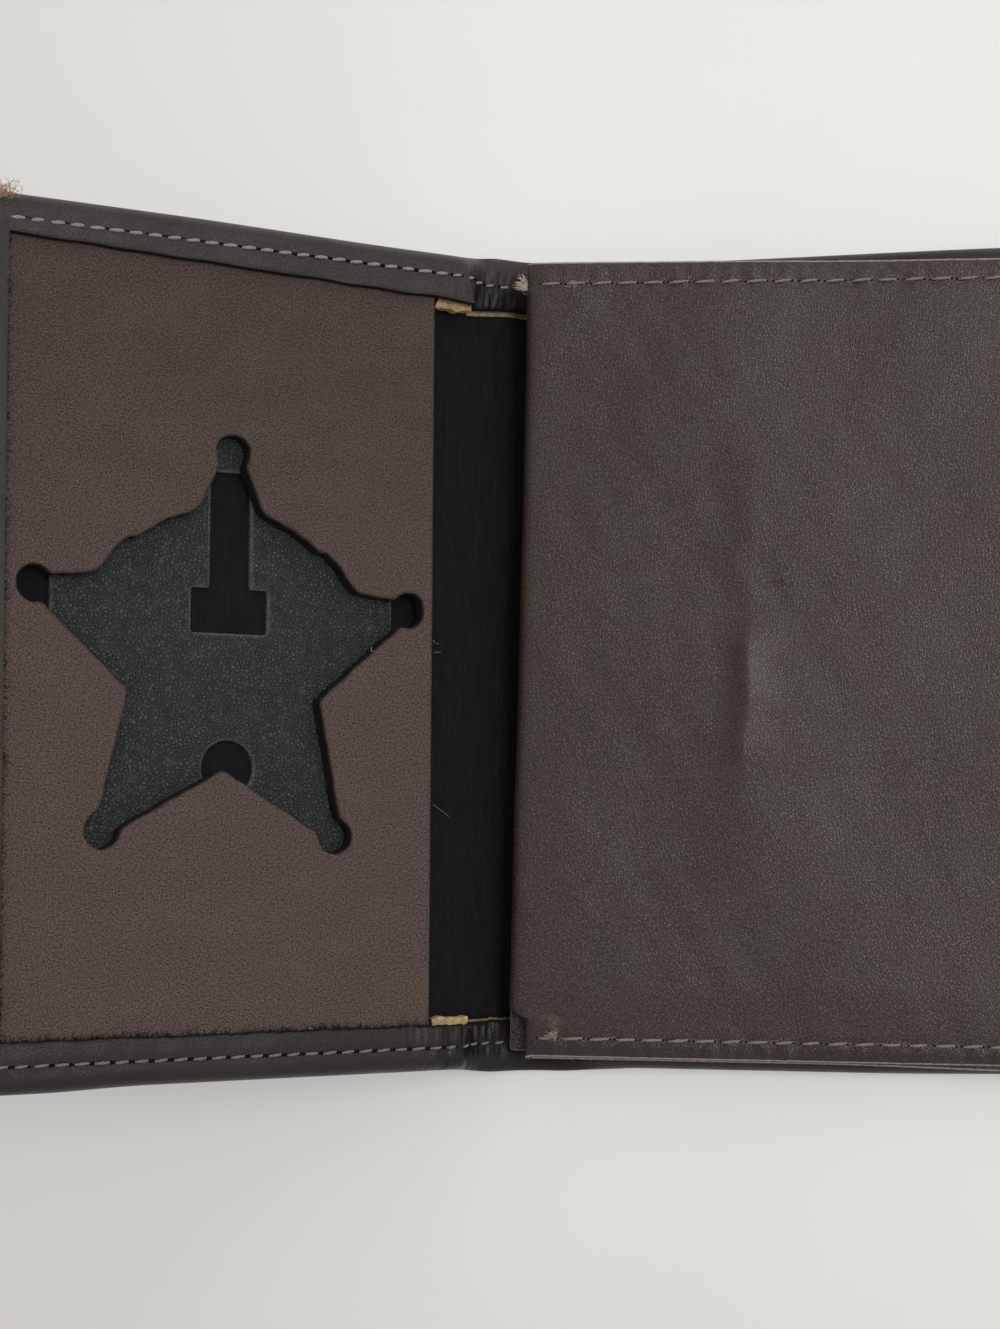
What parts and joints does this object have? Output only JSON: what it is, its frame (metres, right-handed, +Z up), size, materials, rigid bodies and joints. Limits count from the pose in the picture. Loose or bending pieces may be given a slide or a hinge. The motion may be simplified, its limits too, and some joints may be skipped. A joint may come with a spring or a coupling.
{
  "type": "id badge wallet",
  "caption": "Folding leather badge wallet with a star-shaped badge recess, a clear ID window and a sewn flap that turns at the far end.",
  "frame": {"origin": "middle of the flat underside of the ID cover, the face that lies on the table", "axes": "+X from the spine towards the far end of the ID cover, +Y up the spine towards the star's top point, +Z up"},
  "size_m": [0.1485, 0.1142, 0.0538],
  "materials": {
    "cover_leather": "fine-grained black leather, worn satin",
    "suede": "brown suede nap, matt",
    "grained_panel": "black pebble grain, satin",
    "spacer_board": "raw tan fibre board",
    "lining_cloth": "black plain weave",
    "stiff_board": "grey board",
    "clear_sheet": "clear flexible sheet",
    "flap_leather": "brown smooth leather with fine creases",
    "tab_leather": "dark brown leather with pale cut edges",
    "hem_thread": "grey twisted thread",
    "flap_thread": "brown twisted thread"
  },
  "bodies": {
    "id_cover": {"spine_leather": "cover_leather", "spine_lining": "lining_cloth", "id_cover_leather": "cover_leather", "id_cover_board": "stiff_board", "id_pocket_lining": "lining_cloth", "id_pocket_spacer": "stiff_board", "id_window_sheet": "clear_sheet", "id_window_frame": "flap_leather", "id_top_stitches": "hem_thread", "id_bottom_stitches": "hem_thread", "id_end_stitches": "hem_thread", "flap_hinge_strip": "tab_leather"},
    "badge_cover": {"badge_cover_leather": "cover_leather", "badge_cover_lining": "lining_cloth", "badge_face_panel": "suede", "badge_recess_spacer": "spacer_board", "badge_recess_floor": "grained_panel", "badge_top_stitches": "hem_thread", "badge_bottom_stitches": "hem_thread", "badge_end_stitches": "hem_thread"},
    "flap": {"flap_leather": "flap_leather", "flap_stiffener": "stiff_board", "flap_corner_tab": "tab_leather", "flap_top_stitches": "flap_thread", "flap_bottom_stitches": "flap_thread"}
  },
  "joints": [
    {"name": "badge_cover_fold", "type": "hinge", "parent": "id_cover", "child": "badge_cover", "pos_m": [-0.04425, 0, 0.0082], "axis": [0, 1, 0], "range_deg": [-37, 143], "deforming": ["spine_leather", "spine_lining"]},
    {"name": "flap_turn", "type": "hinge", "parent": "id_cover", "child": "flap", "pos_m": [0.02815, 0, 0.0082], "axis": [0, 1, 0], "range_deg": [0, 180], "deforming": ["flap_hinge_strip"]}
  ]
}
